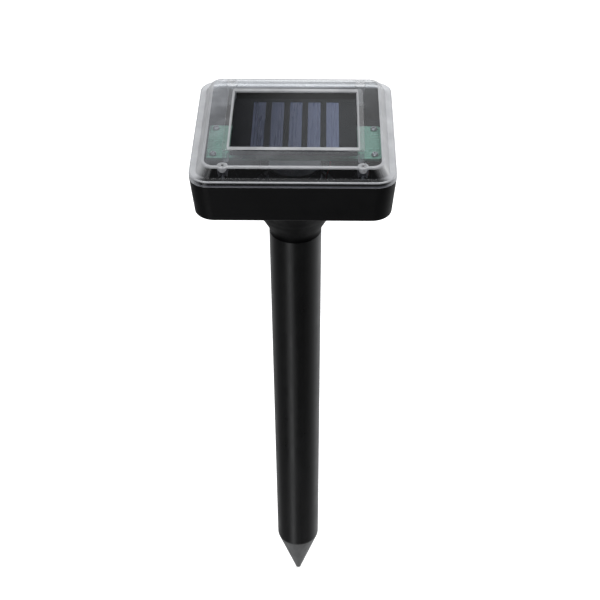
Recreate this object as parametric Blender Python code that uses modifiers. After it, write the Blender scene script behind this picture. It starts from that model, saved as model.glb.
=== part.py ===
"""Solar-powered pest repeller on a ground stake.

Run with: blender --background --python part.py

The frame: metres, +Z up, the origin at the stake's tip, -Y the front. The square head sits on the
hollow stake with a spigot, and lifts straight off along +Z. Inside the head are the solar panel under
a clear cover, a circuit board, one rechargeable cell, a push switch with its button in the floor, and a
small moving-coil speaker that faces down into the stake. Dimensions below are in millimetres. Heights
named s are measured from the split plane between the clear cover and the black base.
"""

import math

import bmesh
import bpy
from mathutils import Matrix, Vector

MM = 0.001
GAP = 0.3  # clearance between pieces that rest on each other

# Head
SPLIT_Z = 380.7  # height of the split plane above the stake's tip
HEAD_W = 120.0  # square head, measured at the split
HEAD_R = 12.0  # its corner radius in plan
FLANGE_H = 3.9  # outer lip of the clear cover
PLATFORM_IN = 7.6  # how far the top of the raised platform stands in from the lip
PLATFORM_LEAN = 4.5  # how far its sloping walls spread towards the foot
PLATFORM_H = 9.7  # top of the platform above the split
COVER_T = 2.0  # wall of the clear cover
BASE_H = 24.1  # depth of the black tub
BASE_TAPER = 2.2  # how far each side wall leans in towards the floor
BASE_T = 2.4
FLOOR_T = 2.2

# Window and solar panel
WIN_W, WIN_D, WIN_Y = 75.8, 66.4, 1.7
FRAME_W, FRAME_H = 3.4, 0.7  # raised frame round the window
CELL_W, CELL_L, CELL_T, CELL_PITCH, CELL_COUNT = 7.6, 54.0, 0.25, 11.15, 5
CELL_S = 5.7

# Fasteners: four bosses of the cover, and four posts of the circuit board
BOSS_X, BOSS_Y, BOSS_CY, BOSS_R = 40.2, 50.0, -1.0, 3.5
BOARD_W, BOARD_D, BOARD_T, BOARD_Y, BOARD_S = 104.0, 38.0, 1.6, -5.0, -3.6
POST_X, POST_Y = 48.0, 15.0

# Hub and stake
HUB_SLOPE = 0.55  # radius gained per height on the funnel
HUB_FILLET = 11.0
HUB_FOOT_S = -68.0  # shoulder that stands on the stake's rim
SPIGOT_R, SPIGOT_L, SPIGOT_BORE = 14.4, 22.0, 11.0
STAKE_R_TOP, STAKE_R_LOW, STAKE_CONE_Z, STAKE_WALL = 16.5, 14.85, 39.5, 1.65
TIP_R = 2.0

# Speaker, on the ledge in the funnel
LEDGE_S = -41.0
SPEAKER_R = 25.2

# Push button
BUTTON_X, BUTTON_Y, BUTTON_R = 46.0, -5.0, 4.6

# Battery
CELL_AXIS_Y, CELL_AXIS_S, AA_R = 46.0, -12.3, 7.0


# ---------------------------------------------------------------- scene and materials

for old in list(bpy.data.objects):
    bpy.data.objects.remove(old, do_unlink=True)

parts = bpy.data.collections.new("pest_repeller")
cutters = bpy.data.collections.new("cutters")
bpy.context.scene.collection.children.link(parts)
bpy.context.scene.collection.children.link(cutters)


def material(name, rgb, roughness, metallic=0.0, alpha=1.0, transmission=0.0):
    m = bpy.data.materials.new(name)
    m.use_nodes = True
    shader = m.node_tree.nodes["Principled BSDF"]
    shader.inputs["Base Color"].default_value = (*rgb, 1.0)
    shader.inputs["Roughness"].default_value = roughness
    shader.inputs["Metallic"].default_value = metallic
    shader.inputs["Alpha"].default_value = alpha
    shader.inputs["Transmission Weight"].default_value = transmission
    m.diffuse_color = (*rgb, alpha)
    return m


CLEAR = material("clear_plastic", (0.92, 0.94, 0.95), 0.08, transmission=0.9)
BOND = material("bond_silicone", (0.9, 0.92, 0.93), 0.2, transmission=0.9)
BLACK = material("black_plastic", (0.012, 0.012, 0.013), 0.42)
STAKE = material("stake_plastic", (0.014, 0.014, 0.015), 0.33)
RUBBER = material("black_rubber", (0.02, 0.02, 0.02), 0.75)
FOAM = material("grey_foam", (0.16, 0.16, 0.17), 0.9)
PANEL = material("panel_black", (0.01, 0.01, 0.013), 0.15)
CELL = material("solar_cell", (0.07, 0.075, 0.16), 0.3, 0.3)
GREEN = material("board_green", (0.02, 0.2, 0.09), 0.35)
CHIP = material("chip_epoxy", (0.015, 0.015, 0.016), 0.5)
STEEL = material("zinc_steel", (0.55, 0.56, 0.58), 0.3, 1.0)
FRAME_STEEL = material("speaker_steel", (0.35, 0.36, 0.38), 0.35, 1.0)
FERRITE = material("ferrite", (0.05, 0.05, 0.055), 0.7)
COPPER = material("copper", (0.72, 0.33, 0.18), 0.35, 1.0)
PAPER = material("speaker_cone", (0.05, 0.048, 0.045), 0.8)
NICKEL = material("nickel", (0.66, 0.64, 0.6), 0.25, 1.0)
CELL_WRAP = material("cell_wrap", (0.05, 0.22, 0.5), 0.3)
TRAY = material("tray_plastic", (0.03, 0.03, 0.032), 0.5)
CAN = material("capacitor_sleeve", (0.03, 0.05, 0.14), 0.35)
RED = material("wire_red", (0.6, 0.02, 0.02), 0.45)
WIRE_BLACK = material("wire_black", (0.015, 0.015, 0.015), 0.45)
BUTTON = material("button_rubber", (0.35, 0.03, 0.03), 0.6)


# ---------------------------------------------------------------- placing things


def empty(name, location, parent=None):
    e = bpy.data.objects.new(name, None)
    e.empty_display_size = 0.01
    e.location = Vector(location) * MM
    e.parent = parent
    parts.objects.link(e)
    return e


def place(name, data, mat, parent, at, tool):
    obj = bpy.data.objects.new(name, data)
    obj.location = Vector(at) * MM
    obj.parent = parent
    if tool:
        obj.hide_render = True
        obj.display_type = "WIRE"
        cutters.objects.link(obj)
    else:
        parts.objects.link(obj)
    if mat is not None and not data.materials:
        data.materials.append(mat)
    return obj


stake_frame = empty("stake_frame", (0, 0, 0))
head_frame = empty("head_frame", (0, 0, SPLIT_Z), stake_frame)
button_frame = empty("button_frame", (BUTTON_X, BUTTON_Y, -BASE_H), head_frame)
speaker_axis = empty("speaker_axis", (0, 0, LEDGE_S), head_frame)


def finish(name, bm, mat, parent, at, tool, smooth=True):
    """Turns a bmesh drawn in millimetres into a placed object in metres."""
    bm.transform(Matrix.Scale(MM, 4))
    bmesh.ops.recalc_face_normals(bm, faces=bm.faces)
    mesh = bpy.data.meshes.new(name)
    bm.to_mesh(mesh)
    bm.free()
    if smooth:
        mesh.shade_smooth()
        mesh.set_sharp_from_angle(angle=math.radians(35))
    return place(name, mesh, mat, parent, at, tool)


# ---------------------------------------------------------------- shapes


def rounded_box(
    name, w, d, s0, s1, r, mat=None, parent=None, at=(0, 0, 0), tool=False,
    seg=6, low_w=None, low_d=None, top_edge=0.0, low_edge=0.0, edge_seg=2,
):  # fmt: skip
    """A box with round vertical edges, optionally narrower at its foot, and with rounded rims."""
    bm = bmesh.new()
    bmesh.ops.create_cube(bm, size=1.0)
    bmesh.ops.scale(bm, vec=(w, d, s1 - s0), verts=bm.verts)
    bmesh.ops.translate(bm, vec=(0, 0, (s0 + s1) / 2), verts=bm.verts)
    if r:
        upright = [e for e in bm.edges if abs(e.verts[0].co.z - e.verts[1].co.z) > 1e-6]
        bmesh.ops.bevel(
            bm, geom=upright, offset=r, offset_type="OFFSET", segments=seg, profile=0.5, affect="EDGES"
        )
    for v in bm.verts:
        if abs(v.co.z - s0) < 1e-6:
            v.co.x *= (low_w or w) / w
            v.co.y *= (low_d or d) / d
    for edge, z in ((top_edge, s1), (low_edge, s0)):
        if edge:
            rim = [e for e in bm.edges if all(abs(v.co.z - z) < 1e-6 for v in e.verts)]
            bmesh.ops.bevel(
                bm, geom=rim, offset=edge, offset_type="OFFSET", segments=edge_seg, profile=0.5, affect="EDGES"
            )
    return finish(name, bm, mat, parent, at, tool)


def cylinder(name, r, s0, s1, mat=None, parent=None, at=(0, 0, 0), tool=False, seg=20, r_low=None):
    """A cylinder, or a cone frustum where r_low is given."""
    bm = bmesh.new()
    bmesh.ops.create_cone(
        bm, cap_ends=True, segments=seg, radius1=r if r_low is None else r_low, radius2=r, depth=s1 - s0
    )
    bmesh.ops.translate(bm, vec=(0, 0, (s0 + s1) / 2), verts=bm.verts)
    return finish(name, bm, mat, parent, at, tool)


def turned(name, profile, steps, mat=None, parent=None, at=(0, 0, 0), tool=False, ring=False):
    """A turned solid: (radius, height) points that run down the outer side. A ring's profile closes on itself."""
    bm = bmesh.new()
    verts = [bm.verts.new((r, 0.0, z)) for r, z in profile]
    for a, b in zip(verts, verts[1:]):
        bm.edges.new((a, b))
    if ring:
        bm.edges.new((verts[-1], verts[0]))
    bm.transform(Matrix.Scale(MM, 4))
    mesh = bpy.data.meshes.new(name)
    bm.to_mesh(mesh)
    bm.free()
    obj = place(name, mesh, mat, parent, at, tool)
    screw = obj.modifiers.new("turn", "SCREW")
    screw.axis = "Z"
    screw.angle = math.tau
    screw.steps = steps
    screw.render_steps = steps
    screw.use_merge_vertices = True
    screw.merge_threshold = 1e-6
    screw.use_smooth_shade = True
    return obj


def smooth_path(route, per_leg):
    """Points on a Catmull-Rom curve through the route's points."""
    pts = [Vector(p) for p in route]
    pts = [2 * pts[0] - pts[1]] + pts + [2 * pts[-1] - pts[-2]]
    out = []
    for i in range(1, len(pts) - 2):
        p0, p1, p2, p3 = pts[i - 1 : i + 3]
        for k in range(per_leg):
            t = k / per_leg
            out.append(
                0.5
                * (
                    2 * p1
                    + (p2 - p0) * t
                    + (2 * p0 - 5 * p1 + 4 * p2 - p3) * t * t
                    + (3 * p1 - p0 - 3 * p2 + p3) * t * t * t
                )
            )
    out.append(pts[-2])
    return out


def wire(name, points, radius, mat, parent, at=(0, 0, 0)):
    """A wire or a wound spring: a curve with a round bevel and filled caps."""
    curve = bpy.data.curves.new(name, "CURVE")
    curve.dimensions = "3D"
    curve.bevel_depth = radius * MM
    curve.bevel_resolution = 2
    curve.use_fill_caps = True
    spline = curve.splines.new("POLY")
    spline.points.add(len(points) - 1)
    for point, p in zip(spline.points, points):
        point.co = (p[0] * MM, p[1] * MM, p[2] * MM, 1.0)
    return place(name, curve, mat, parent, at, False)


def boolean(target, operation, *operands):
    for operand in operands:
        mod = target.modifiers.new(operation.lower(), "BOOLEAN")
        mod.operation = operation
        mod.object = operand
        mod.solver = "EXACT"
    return target


def baked(obj, *operands):
    """The object's finished mesh, for pieces that share one mesh. Its own object and operands are removed."""
    bpy.context.view_layer.update()
    graph = bpy.context.evaluated_depsgraph_get()
    mesh = bpy.data.meshes.new_from_object(obj.evaluated_get(graph))
    for o in (obj, *operands):
        bpy.data.objects.remove(o, do_unlink=True)
    return mesh


def mirrored(x, y):
    return [(sx * x, sy * y) for sx, sy in ((-1, -1), (1, -1), (-1, 1), (1, 1))]


# ---------------------------------------------------------------- stake

stake_wall_low = STAKE_R_LOW - STAKE_WALL
rim_z = SPLIT_Z + HUB_FOOT_S - GAP
cone_angle = math.atan2(STAKE_R_LOW, STAKE_CONE_Z)  # half-angle of the point
tip_profile = []
for step in range(4):  # the rounded tip, from the cone to the axis
    a = (math.pi / 2 - cone_angle) * (1 - step / 3)
    tip_profile.append((TIP_R * math.sin(a), TIP_R * (1 - math.cos(a))))
turned(
    "stake",
    [
        (0.0, STAKE_CONE_Z + 2.0),
        (stake_wall_low - 3.5, STAKE_CONE_Z + 3.5),
        (stake_wall_low, STAKE_CONE_Z + 8.0),
        (STAKE_R_TOP - STAKE_WALL, rim_z - 1.0),
        (STAKE_R_TOP - STAKE_WALL + 0.3, rim_z),
        (STAKE_R_TOP - 0.3, rim_z),
        (STAKE_R_TOP, rim_z - 0.4),
        (STAKE_R_LOW + 0.05, STAKE_CONE_Z + 1.2),
        (STAKE_R_LOW - 0.35, STAKE_CONE_Z - 0.9),
    ]
    + tip_profile,
    40,
    STAKE,
    stake_frame,
)

# ---------------------------------------------------------------- base shell with hub and spigot


def hub_radius(s):
    """Outer radius of the funnel's straight part at height s."""
    top_of_fillet = HUB_FOOT_S + HUB_FILLET * math.sin(math.atan(HUB_SLOPE))
    foot = STAKE_R_TOP + HUB_FILLET * (1 - math.cos(math.atan(HUB_SLOPE)))
    return foot + HUB_SLOPE * (s - top_of_fillet)


boss_places = [(x, y + BOSS_CY) for x, y in mirrored(BOSS_X, BOSS_Y)]
low_w = HEAD_W - 2 * BASE_TAPER
base_shell = rounded_box(
    "base_shell", HEAD_W, HEAD_W, -BASE_H, -GAP / 2, HEAD_R, BLACK, head_frame,
    low_w=low_w, low_d=low_w, low_edge=1.3, edge_seg=3,
)  # fmt: skip

fillet = []
turn = math.atan(HUB_SLOPE)
for step in range(5):
    a = turn * (1 - step / 4)
    fillet.append((STAKE_R_TOP + HUB_FILLET * (1 - math.cos(a)), HUB_FOOT_S + HUB_FILLET * math.sin(a)))
spigot_end = HUB_FOOT_S - SPIGOT_L
hub = turned(
    "hub_outside",
    [
        (0.0, -BASE_H + 1.2),
        (hub_radius(-BASE_H) + 2.5, -BASE_H + 0.5),
        (hub_radius(-BASE_H) + 1.3, -BASE_H - 0.4),
        (hub_radius(-BASE_H) - 0.1, -BASE_H - 1.4),
        (hub_radius(-BASE_H - 3.4), -BASE_H - 3.4),
    ]
    + fillet
    + [
        (SPIGOT_R, HUB_FOOT_S),
        (SPIGOT_R, HUB_FOOT_S - 5.0),
        (12.85, HUB_FOOT_S - 5.0),
        (12.85, HUB_FOOT_S - 7.0),
        (SPIGOT_R, HUB_FOOT_S - 7.0),
        (SPIGOT_R, spigot_end + 1.2),
        (SPIGOT_R - 0.9, spigot_end),
        (0.0, spigot_end),
    ],
    40,
    None,
    head_frame,
    tool=True,
)

# Tub cavity: wide below, closed in a little at the rim by a lip that carries the cover's seal
inner = HEAD_W - 2 * BASE_T
cavity = rounded_box(
    "tub_cavity", inner, inner, -BASE_H + FLOOR_T, -3.5, HEAD_R - BASE_T, None, head_frame, tool=True,
    low_w=inner - 2 * BASE_TAPER * 0.9, low_d=inner - 2 * BASE_TAPER * 0.9,
)  # fmt: skip
tongue = rounded_box("rim_tongue", 114.6, 114.6, -1.2, 0.8, 9.3, None, head_frame, tool=True)
mouth = rounded_box("rim_mouth", 110.8, 110.8, -6.0, 2.0, 7.4, None, head_frame, tool=True)

# Hollow of the hub: funnel, ledge for the speaker, throat and spigot bore
hub_hollow = turned(
    "hub_hollow",
    [
        (0.0, -12.0),
        (37.2, -12.0),
        (37.2, -BASE_H + FLOOR_T - 0.1),
        (hub_radius(LEDGE_S) - 2.45, LEDGE_S),
        (22.5, LEDGE_S),
        (22.5, -47.0),
        (15.7, -61.0),
        (12.4, -66.0),
        (SPIGOT_BORE, -68.5),
        (SPIGOT_BORE, spigot_end - 3.0),
        (0.0, spigot_end - 3.0),
    ],
    40,
    None,
    head_frame,
    tool=True,
)

boolean(base_shell, "UNION", tongue, hub)
boolean(base_shell, "DIFFERENCE", cavity, mouth, hub_hollow)

for i, (x, y) in enumerate(boss_places, 1):
    column = cylinder(f"column_{i}", 4.2, -BASE_H + 1.5, -6.3, None, head_frame, (x, y, 0), True, 16)
    boolean(base_shell, "UNION", column)
for i, (x, y) in enumerate(mirrored(POST_X, POST_Y), 1):
    post = cylinder(
        f"board_post_{i}", 2.8, -BASE_H + 1.4, BOARD_S - GAP, None, head_frame, (x, y + BOARD_Y, 0), True, 14, 3.3
    )
    pilot = cylinder(f"board_pilot_{i}", 1.15, -13.0, -2.0, None, head_frame, (x, y + BOARD_Y, 0), True, 10)
    boolean(base_shell, "UNION", post)
    boolean(base_shell, "DIFFERENCE", pilot)
for i, (x, y) in enumerate(boss_places, 1):
    bore = turned(
        f"column_bore_{i}",
        [(0.0, -4.0), (1.7, -4.0), (1.7, -20.8), (2.9, -20.8), (2.9, -BASE_H - 2.0), (0.0, -BASE_H - 2.0)],
        14,
        None,
        head_frame,
        (x, y, 0),
        True,
    )
    boolean(base_shell, "DIFFERENCE", bore)
button_hole = cylinder(
    "button_hole", BUTTON_R + 0.4, -4.0, 5.0, None, button_frame, (0, 0, 0), True, 24
)
boolean(base_shell, "DIFFERENCE", button_hole)

# ---------------------------------------------------------------- clear cover

top_cover = rounded_box(
    "top_cover", HEAD_W, HEAD_W, GAP / 2, FLANGE_H, HEAD_R, CLEAR, head_frame, top_edge=0.8
)
platform_w = HEAD_W - 2 * PLATFORM_IN
platform = rounded_box(
    "platform", platform_w, platform_w, 1.0, PLATFORM_H, 7.0, None, head_frame, tool=True, top_edge=0.9,
    low_w=platform_w + 2 * PLATFORM_LEAN, low_d=platform_w + 2 * PLATFORM_LEAN,
)
frame_block = rounded_box(
    "frame_block", WIN_W + 2 * FRAME_W, WIN_D + 2 * FRAME_W, PLATFORM_H - 0.6, PLATFORM_H + FRAME_H, 1.6, None,
    head_frame, (0, WIN_Y, 0), True, seg=3, top_edge=0.3, edge_seg=1,
)  # fmt: skip
frame_window = rounded_box(
    "frame_window", WIN_W, WIN_D, PLATFORM_H - 0.1, PLATFORM_H + 3.0, 0.6, None, head_frame, (0, WIN_Y, 0), True, seg=2
)
under_skirt = rounded_box("under_skirt", 115.8, 115.8, -2.0, 1.8, 9.9, None, head_frame, tool=True)
cover_cavity = rounded_box(
    "cover_cavity", platform_w - 2 * COVER_T, platform_w - 2 * COVER_T, -3.0, PLATFORM_H - COVER_T, 5.0, None,
    head_frame, tool=True, top_edge=0.6, edge_seg=1,
)  # fmt: skip
boolean(top_cover, "UNION", platform, frame_block)
boolean(top_cover, "DIFFERENCE", frame_window, under_skirt, cover_cavity)

# Ribs under the window that hold the panel, with a round post at each corner
rib_ring = rounded_box(
    "rib_ring", WIN_W + 3.6, WIN_D + 3.6, 3.2, PLATFORM_H - COVER_T + 0.5, 1.4, None, head_frame, (0, WIN_Y, 0), True,
    seg=2,
)  # fmt: skip
rib_space = rounded_box(
    "rib_space", WIN_W, WIN_D, 1.0, PLATFORM_H - COVER_T, 0.6, None, head_frame, (0, WIN_Y, 0), True, seg=2
)
boolean(top_cover, "UNION", rib_ring)
boolean(top_cover, "DIFFERENCE", rib_space)
for i, (x, y) in enumerate(mirrored(WIN_W / 2 + 1.6, WIN_D / 2 + 1.6), 1):
    post = cylinder(
        f"rib_post_{i}", 1.9, 1.6, PLATFORM_H - COVER_T + 0.6, None, head_frame, (x, y + WIN_Y, 0), True, 12
    )
    boolean(top_cover, "UNION", post)
for i, (x, y) in enumerate(boss_places, 1):
    boss = turned(
        f"boss_{i}",
        [
            (0.0, PLATFORM_H + 0.1),
            (BOSS_R - 0.9, PLATFORM_H + 0.1),
            (BOSS_R - 0.2, PLATFORM_H - 0.3),
            (BOSS_R, PLATFORM_H - 1.1),
            (BOSS_R - 0.1, 3.0),
            (3.0, 1.2),
            (3.0, -6.0),
            (0.0, -6.0),
        ],
        16,
        None,
        head_frame,
        (x, y, 0),
        True,
    )
    hole = cylinder(f"boss_hole_{i}", 1.6, -8.0, 4.2, None, head_frame, (x, y, 0), True, 12)
    boolean(top_cover, "UNION", boss)
    boolean(top_cover, "DIFFERENCE", hole)

# Flat seal on the tongue
cover_gasket = rounded_box("cover_gasket", 114.2, 114.2, 1.1, 1.5, 9.1, FOAM, head_frame, seg=5)
gasket_hole = rounded_box("gasket_hole", 111.4, 111.4, 0.0, 3.0, 7.7, None, head_frame, tool=True, seg=5)
boolean(cover_gasket, "DIFFERENCE", gasket_hole)

# ---------------------------------------------------------------- solar panel

rounded_box(
    "solar_panel_board", WIN_W - 0.8, WIN_D - 0.8, CELL_S - 1.3, CELL_S - GAP, 0.8, PANEL, head_frame, (0, WIN_Y, 0),
    seg=2,
)  # fmt: skip
for i in range(CELL_COUNT):
    x = (i - (CELL_COUNT - 1) / 2) * CELL_PITCH
    rounded_box(
        f"solar_cell_{i + 1}", CELL_W, CELL_L, 0.0, CELL_T, 0, CELL, head_frame, (x + 0.6, WIN_Y + 0.3, CELL_S)
    )
rounded_box(
    "panel_bond_layer", WIN_W - 0.8, WIN_D - 0.8, CELL_S + CELL_T + GAP, PLATFORM_H - COVER_T - GAP, 0.8, BOND,
    head_frame, (0, WIN_Y, 0), seg=2,
)  # fmt: skip

# ---------------------------------------------------------------- circuit board and what is on it

board = rounded_box(
    "main_board", BOARD_W, BOARD_D, BOARD_S, BOARD_S + BOARD_T, 2.0, GREEN, head_frame, (0, BOARD_Y, 0), seg=3
)
for i, (x, y) in enumerate(mirrored(POST_X, POST_Y), 1):
    hole = cylinder(f"board_hole_{i}", 1.3, -6.0, 0.0, None, head_frame, (x, y + BOARD_Y, 0), True, 12)
    boolean(board, "DIFFERENCE", hole)
board_top = BOARD_S + BOARD_T + GAP

rounded_box(
    "control_chip", 9.9, 3.9, 0.0, 1.5, 0, CHIP, head_frame, (-12.0, -8.0, board_top), top_edge=0.25, edge_seg=1
)
tab = rounded_box("transistor_tab", 3.0, 9.0, 0.0, 0.5, 0, None, head_frame, (14.0, -12.0, board_top), True)
driver = rounded_box(
    "driver_transistor", 6.5, 3.5, 0.2, 1.8, 0, CHIP, head_frame, (14.0, -12.0, board_top), top_edge=0.25, edge_seg=1
)
boolean(driver, "UNION", tab)
turned(
    "boost_inductor",
    [(0, 4.6), (4.0, 4.6), (4.0, 3.8), (3.1, 3.4), (3.1, 1.2), (4.0, 0.8), (4.0, 0.0), (0, 0.0)],
    18,
    FERRITE,
    head_frame,
    (26.0, -6.0, board_top),
)
turned(
    "storage_capacitor",
    [(0, 5.6), (2.5, 5.6), (3.0, 5.2), (3.0, 1.9), (2.75, 1.6), (3.0, 1.3), (3.0, 0.0), (0, 0.0)],
    18,
    CAN,
    head_frame,
    (-27.0, -4.0, board_top),
)


def screw_mesh(name, head_r, head_h, shank_r, shank_l, cross):
    """A pan-head screw, head at the foot and shank up from z = 0, with a cross recess."""
    body = turned(
        name,
        [
            (0.0, shank_l),
            (shank_r * 0.35, shank_l),
            (shank_r, shank_l - 1.6),
            (shank_r, 0.0),
            (head_r, 0.0),
            (head_r, -head_h * 0.45),
            (head_r * 0.72, -head_h),
            (0.0, -head_h),
        ],
        14,
        STEEL,
    )
    slots = [
        rounded_box(f"{name}_slot_{k}", w, d, -head_h - 1.0, -head_h * 0.4, 0, tool=True)
        for k, (w, d) in enumerate(((cross, cross / 4), (cross / 4, cross)))
    ]
    boolean(body, "DIFFERENCE", *slots)
    return baked(body, *slots)


cover_screw = screw_mesh("cover_screw", 2.6, 1.9, 1.3, 24.0, 2.8)
for i, (x, y) in enumerate(boss_places, 1):
    place(f"cover_screw_{i}", cover_screw, None, head_frame, (x, y, -20.8 - GAP), False)
board_screw = screw_mesh("board_screw", 2.1, 1.3, 0.85, 7.0, 2.4)
for i, (x, y) in enumerate(mirrored(POST_X, POST_Y), 1):
    screw = place(f"board_screw_{i}", board_screw, None, head_frame, (x, y + BOARD_Y, board_top), False)
    screw.rotation_euler = (math.pi, 0.0, 0.0)

# Push switch under the board, its button through the floor, and the return spring between them
switch = rounded_box(
    "power_switch", 8.5, 8.5, 10.7, 20.2, 0.5, CHIP, button_frame, (0, 0, 0), seg=2
)
socket = cylinder("switch_socket", 2.0, 8.0, 15.8, None, button_frame, (0, 0, 0), True, 14)
boolean(switch, "DIFFERENCE", socket)
turned(
    "power_button",
    [
        (0.0, 12.7),
        (1.6, 12.7),
        (1.6, 3.6),
        (6.0, 3.6),
        (6.0, 2.5),
        (BUTTON_R, 2.5),
        (BUTTON_R, -0.9),
        (BUTTON_R * 0.86, -1.5),
        (BUTTON_R * 0.5, -1.85),
        (0.0, -2.0),
    ],
    24,
    BUTTON,
    button_frame,
)
coil_low, coil_high, coil_turns = 4.2, 10.1, 4
coil = []
for k in range(coil_turns * 8 + 1):
    a = math.tau * k / 8
    coil.append((2.9 * math.cos(a), 2.9 * math.sin(a), coil_low + (coil_high - coil_low) * k / (coil_turns * 8)))
wire("button_spring", coil, 0.28, STEEL, button_frame)

# ---------------------------------------------------------------- battery

tray_s0, tray_s1 = -20.8, -8.8
tray = rounded_box(
    "battery_holder", 56.8, 16.6, tray_s0, tray_s1, 1.0, TRAY, head_frame, (-0.6, CELL_AXIS_Y, 0), seg=2
)
tray_space = rounded_box(
    "tray_space", 54.2, 14.7, tray_s0 + 1.2, 0.0, 0.4, None, head_frame, (-0.7, CELL_AXIS_Y, 0), True, seg=1
)
tray_notch = rounded_box(
    "tray_notch", 30.0, 30.0, -13.8, 0.0, 0, None, head_frame, (0, CELL_AXIS_Y, 0), True
)
boolean(tray, "DIFFERENCE", tray_space, tray_notch)
rounded_box(
    "battery_tape", 50.0, 12.0, -21.6, -21.1, 0, FOAM, head_frame, (-0.6, CELL_AXIS_Y, 0)
)
cell = turned(
    "battery_cell",
    [
        (0.0, 25.3),
        (2.6, 25.3),
        (2.8, 25.0),
        (2.8, 24.0),
        (AA_R - 0.7, 24.0),
        (AA_R, 23.4),
        (AA_R, -24.4),
        (AA_R - 0.5, -24.9),
        (0.0, -24.9),
    ],
    22,
    CELL_WRAP,
    head_frame,
    (0, CELL_AXIS_Y, CELL_AXIS_S),
)
cell.rotation_euler = (0.0, math.pi / 2, 0.0)
rounded_box(
    "battery_plate_contact", 0.4, 8.0, -17.3, -7.4, 0, NICKEL, head_frame, (25.8, CELL_AXIS_Y, 0)
)
spring = []
for k in range(25):
    a = math.tau * k / 8
    x = -27.1 + 1.6 * k / 24
    r = 4.6 - 1.9 * k / 24
    spring.append((x, CELL_AXIS_Y + r * math.cos(a), CELL_AXIS_S + r * math.sin(a)))
wire("battery_spring_contact", spring, 0.28, NICKEL, head_frame)

# ---------------------------------------------------------------- speaker, facing down

turned(
    "speaker_gasket", [(22.9, 1.2), (SPEAKER_R, 1.2), (SPEAKER_R, GAP), (22.9, GAP)], 32, FOAM, speaker_axis, ring=True
)
speaker_frame = turned(
    "speaker_frame",
    [(8.2, 10.9), (16.9, 10.9), (22.4, 2.4), (SPEAKER_R, 2.4), (SPEAKER_R, 1.5), (21.8, 1.5), (16.3, 10.0), (8.2, 10.0)],
    28,
    FRAME_STEEL,
    speaker_axis,
    ring=True,
)
for k in range(2):
    window = rounded_box(
        f"frame_vent_{k}", 60.0, 9.0, 4.2, 8.6, 0, None, speaker_axis, (0, 0, 0), True
    )
    window.rotation_euler = (0.0, 0.0, math.pi / 4 + k * math.pi / 2)
    boolean(speaker_frame, "DIFFERENCE", window)
turned(
    "speaker_plate", [(7.6, 13.2), (16.0, 13.2), (16.0, 11.2), (7.6, 11.2)], 28, FRAME_STEEL, speaker_axis, ring=True
)
turned(
    "speaker_magnet", [(9.0, 19.1), (16.5, 19.1), (16.5, 13.5), (9.0, 13.5)], 28, FERRITE, speaker_axis, ring=True
)
turned(
    "speaker_yoke",
    [(0, 21.3), (16.0, 21.3), (16.0, 19.4), (5.6, 19.4), (5.6, 11.2), (0, 11.2)],
    28,
    FRAME_STEEL,
    speaker_axis,
)
turned(
    "speaker_cone",
    [
        (0, 5.1),
        (4.0, 5.9),
        (5.95, 6.5),
        (5.95, 15.5),
        (6.3, 15.5),
        (6.3, 7.1),
        (19.8, 2.5),
        (20.6, 2.5),
        (20.6, 1.9),
        (19.7, 1.9),
        (6.2, 6.0),
        (4.0, 5.2),
        (0, 4.4),
    ],
    28,
    PAPER,
    speaker_axis,
)
turned("voice_coil", [(6.6, 14.4), (7.1, 14.4), (7.1, 10.4), (6.6, 10.4)], 28, COPPER, speaker_axis, ring=True)
turned(
    "speaker_retainer",
    [(23.0, 4.2), (25.6, 4.2), (26.3, 3.6), (26.3, 2.7), (23.0, 2.7)],
    32,
    TRAY,
    speaker_axis,
    ring=True,
)

# ---------------------------------------------------------------- seal on the spigot

ring_r, ring_at = 0.62, HUB_FOOT_S - 6.0
seal = [
    (13.77 + ring_r * math.cos(a), ring_r * math.sin(a))
    for a in (math.pi / 2 - math.tau * k / 6 for k in range(6))
]
turned("stake_seal_ring", seal, 28, RUBBER, head_frame, (0, 0, ring_at), ring=True)

# ---------------------------------------------------------------- internal leads

lead_r = 0.6
lead_end = board_top
for name, mat, side in (("red", RED, 1), ("black", WIRE_BLACK, -1)):
    wire(
        f"panel_wire_{name}",
        smooth_path(
            [
                (8.0 * side, 14.0, CELL_S - 1.3 - GAP),
                (8.0 * side, 14.0, 2.8),
                (9.5 * side, 12.0, 1.2),
                (11.5 * side, 8.0, 0.6),
                (12.5 * side, 5.2, 0.2),
                (12.6 * side, 5.0, lead_end),
            ],
            2,
        ),
        lead_r,
        mat,
        head_frame,
    )
wire(
    "battery_wire_red",
    smooth_path(
        [
            (25.8, CELL_AXIS_Y, -7.1),
            (25.8, CELL_AXIS_Y - 0.4, -5.2),
            (25.4, 40.0, -1.6),
            (23.6, 28.0, 0.4),
            (21.4, 16.0, 1.2),
            (20.2, 11.4, 0.4),
            (20.0, 11.0, lead_end),
        ],
        2,
    ),
    lead_r,
    RED,
    head_frame,
)
wire(
    "battery_wire_black",
    smooth_path(
        [
            (-26.6, CELL_AXIS_Y, -6.8),
            (-26.6, CELL_AXIS_Y - 0.4, -5.0),
            (-26.0, 40.0, -1.6),
            (-24.0, 28.0, 0.4),
            (-21.6, 16.0, 1.2),
            (-20.2, 11.4, 0.4),
            (-20.0, 11.0, lead_end),
        ],
        2,
    ),
    lead_r,
    WIRE_BLACK,
    head_frame,
)
for name, mat, side in (("red", RED, 1), ("black", WIRE_BLACK, -1)):
    wire(
        f"speaker_wire_{name}",
        smooth_path(
            [
                (20.0 * side, 4.0, BOARD_S - GAP),
                (20.0 * side, 4.0, -8.0),
                (21.5 * side, 3.6, -16.0),
                (21.6 * side, 3.4, -24.0),
                (19.6 * side, 3.2, -30.0),
                (19.2 * side, 3.2, -33.2),
            ],
            2,
        ),
        lead_r,
        mat,
        head_frame,
    )

bpy.context.view_layer.update()
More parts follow.
